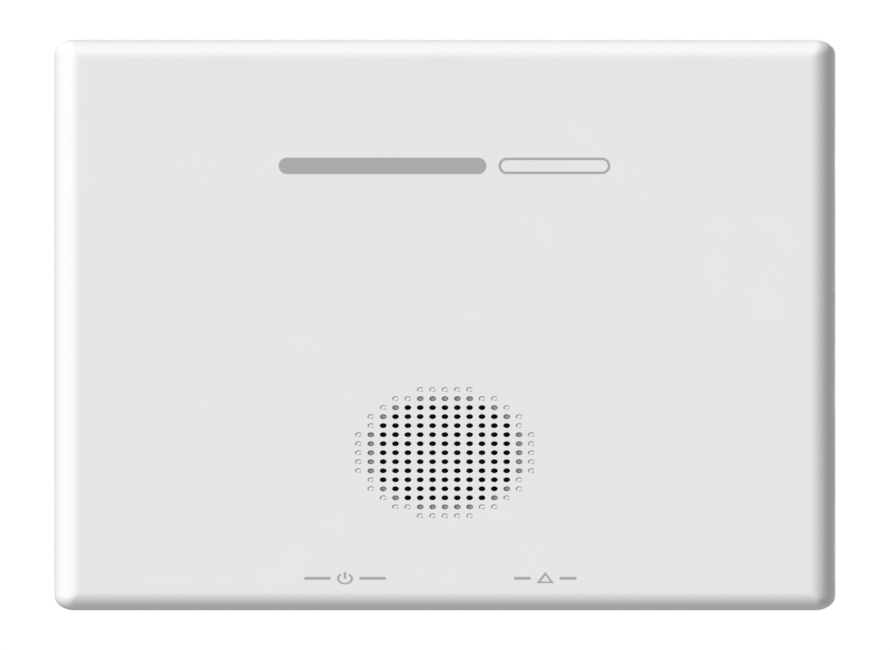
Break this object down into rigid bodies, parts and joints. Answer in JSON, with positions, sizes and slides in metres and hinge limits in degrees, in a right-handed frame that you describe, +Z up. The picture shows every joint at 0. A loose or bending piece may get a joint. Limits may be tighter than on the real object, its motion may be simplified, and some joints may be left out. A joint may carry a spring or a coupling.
{
  "type": "carbon monoxide detector",
  "caption": "Wall-mounted carbon monoxide detector: white rounded case with a round dotted grille, side battery drawer and side test button, on a slide-on wall plate.",
  "frame": {"origin": "on the wall, at the middle of the wall plate's back face between its two side screw slots", "axes": "+Z up, -Y out of the wall towards the room, +X to the right as seen from the front"},
  "size_m": [0.12, 0.036, 0.0876],
  "materials": {
    "case_white": "fine-textured white moulded plastic, satin",
    "rear_white": "plain white moulded plastic, matte",
    "button_white": "smooth white moulded plastic",
    "mesh_black": "woven black dust mesh",
    "board_green": "green solder mask over copper tracks",
    "chip_black": "black moulded epoxy or nylon",
    "sounder_black": "black moulded plastic",
    "brass": "bare brass",
    "piezo_ceramic": "unglazed ceramic with a silvered electrode",
    "spring_steel": "nickel-plated spring steel",
    "screw_steel": "zinc-plated steel",
    "sensor_ivory": "ivory moulded plastic",
    "charcoal": "pressed charcoal cloth",
    "led_green": "tinted clear epoxy, green",
    "led_red": "red plastic",
    "led_amber": "tinted clear epoxy, amber",
    "clear_acrylic": "clear acrylic",
    "cell_jacket": "plain dark jacket over a metal can",
    "label_silver": "blank silver-grey self-adhesive label",
    "ferrite": "sintered ferrite",
    "copper_winding": "enamelled copper wire, wound",
    "capacitor_sleeve": "dark blue sleeve over an aluminium can"
  },
  "bodies": {
    "wall": {"wall_plate": "rear_white"},
    "case": {"rear_cover": "rear_white", "front_cover": "case_white", "circuit_board": "board_green", "microcontroller": "chip_black", "driver_chip": "chip_black", "boost_coil_core": "ferrite", "boost_coil_winding": "copper_winding", "capacitor": "capacitor_sleeve", "crystal": "spring_steel", "service_header": "chip_black", "board_screw_1": "screw_steel", "board_screw_2": "screw_steel", "board_screw_3": "screw_steel", "case_screw_1": "screw_steel", "case_screw_2": "screw_steel", "case_screw_3": "screw_steel", "case_screw_4": "screw_steel", "switch_body": "chip_black", "dust_mesh": "mesh_black", "sounder_housing": "sounder_black", "piezo_disc": "brass", "piezo_ceramic": "piezo_ceramic", "sounder_retainer": "sounder_black", "sounder_contact_centre": "spring_steel", "sounder_contact_rim": "spring_steel", "co_sensor_body": "sensor_ivory", "co_sensor_filter": "charcoal", "co_sensor_cap": "spring_steel", "co_sensor_pin_1": "brass", "co_sensor_pin_2": "brass", "co_sensor_pin_3": "brass", "power_led": "led_green", "alarm_led": "led_red", "fault_led": "led_amber", "power_light_pipe": "clear_acrylic", "alarm_light_pipe": "clear_acrylic", "fault_light_pipe": "clear_acrylic", "positive_contact": "spring_steel", "negative_contact": "spring_steel", "rating_label": "label_silver"},
    "battery_drawer": {"battery_drawer": "case_white", "aa_cell_upper": "cell_jacket", "aa_cell_lower": "cell_jacket", "bridge_contact": "spring_steel"},
    "test_button": {"test_button": "button_white", "switch_plunger": "led_red"}
  },
  "joints": [
    {"name": "lift_off", "type": "slide", "parent": "wall", "child": "case", "axis": [0, 0, 1], "range_m": [0, 0.075]},
    {"name": "battery_drawer_slide", "type": "slide", "parent": "case", "child": "battery_drawer", "axis": [-1, 0, 0], "range_m": [0, 0.055]},
    {"name": "test_button_press", "type": "slide", "parent": "case", "child": "test_button", "axis": [-1, 0, 0], "range_m": [0, 0.0007], "stiffness_N_per_m": 400, "springref_m": -0.003}
  ]
}
